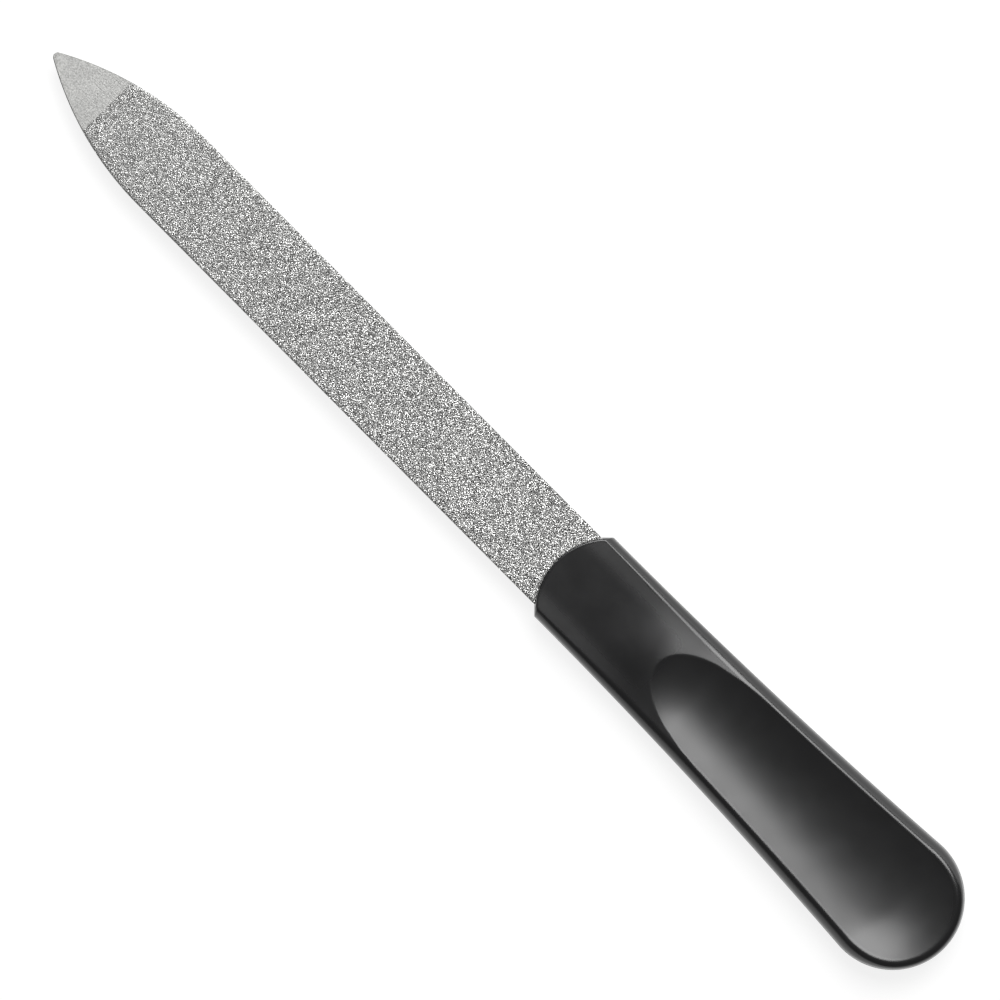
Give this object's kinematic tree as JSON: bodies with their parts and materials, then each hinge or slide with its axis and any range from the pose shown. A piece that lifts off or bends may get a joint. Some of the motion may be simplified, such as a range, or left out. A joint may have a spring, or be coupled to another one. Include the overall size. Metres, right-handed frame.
{
  "type": "nail file",
  "caption": "Sapphire nail file: a slim pointed steel blade with a grit coat on each face, in a black plastic handle with thumb scoops.",
  "frame": {"origin": "middle of the whole file's bounding box, in the mid-plane of the blade", "axes": "+X along the file from the butt of the handle to the point of the blade, +Z the outward normal of the upper grit face"},
  "size_m": [0.16, 0.0182, 0.0066],
  "materials": {
    "satin_steel": "satin, fine ground",
    "sapphire_grit": "coarse glittering grit in a grey bond",
    "black_plastic": "semi-gloss, moulded"
  },
  "bodies": {
    "root": {"blade": "satin_steel", "upper_grit_coat": "sapphire_grit", "lower_grit_coat": "sapphire_grit", "handle": "black_plastic"}
  },
  "joints": []
}
